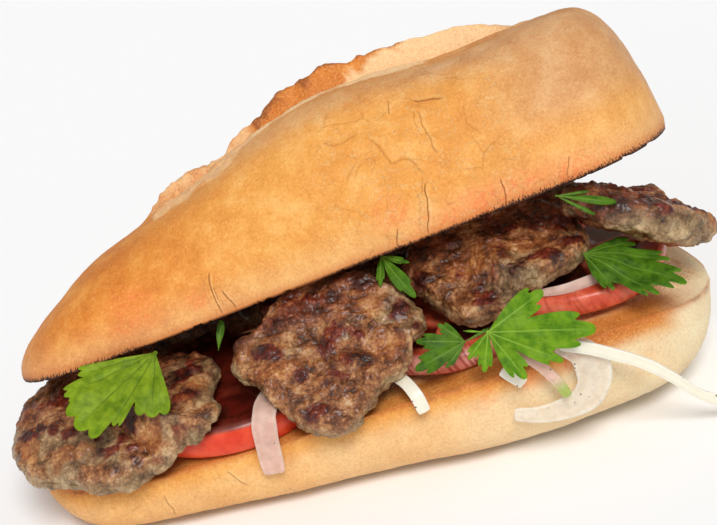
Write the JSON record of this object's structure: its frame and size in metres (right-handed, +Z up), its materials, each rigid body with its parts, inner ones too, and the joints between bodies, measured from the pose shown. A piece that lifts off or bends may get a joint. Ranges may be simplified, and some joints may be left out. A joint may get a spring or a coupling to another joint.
{
  "type": "meatball_sandwich",
  "caption": "Meatball sandwich: flattened grilled meatballs with tomato, onion shreds and parsley leaves between the halves of a split crusty loaf.",
  "frame": {"origin": "on the table, under the middle of the loaf, at the centre of its flat underside", "axes": "+X along the loaf towards its right end as seen from the open side, +Y towards the hinge side at the back, +Z up"},
  "size_m": [0.2519, 0.1168, 0.126],
  "materials": {
    "bread_crust": "dull baked crust with a fine grain, smooth plastic stands in for it",
    "grilled_meat": "rough seared meat with a light film of fat",
    "tomato_flesh": "wet tomato flesh and shiny skin",
    "onion": "moist, slightly see-through onion",
    "parsley": "fresh leaf with a soft sheen"
  },
  "bodies": {
    "root": {"bread_bottom": "bread_crust", "bread_top": "bread_crust", "patty_1": "grilled_meat", "patty_2": "grilled_meat", "patty_3": "grilled_meat", "patty_4": "grilled_meat", "patty_back_left": "grilled_meat", "patty_back_middle": "grilled_meat", "patty_back_right": "grilled_meat", "tomato_1": "tomato_flesh", "tomato_2": "tomato_flesh", "tomato_3": "tomato_flesh", "onion_1": "onion", "onion_2": "onion", "onion_3": "onion", "onion_4": "onion", "onion_5": "onion", "onion_6": "onion", "onion_7": "onion", "onion_8": "onion", "onion_9": "onion", "parsley_1": "parsley", "parsley_2": "parsley", "parsley_3": "parsley", "parsley_4": "parsley", "parsley_5": "parsley", "parsley_6": "parsley", "parsley_7": "parsley", "parsley_8": "parsley"}
  },
  "joints": []
}
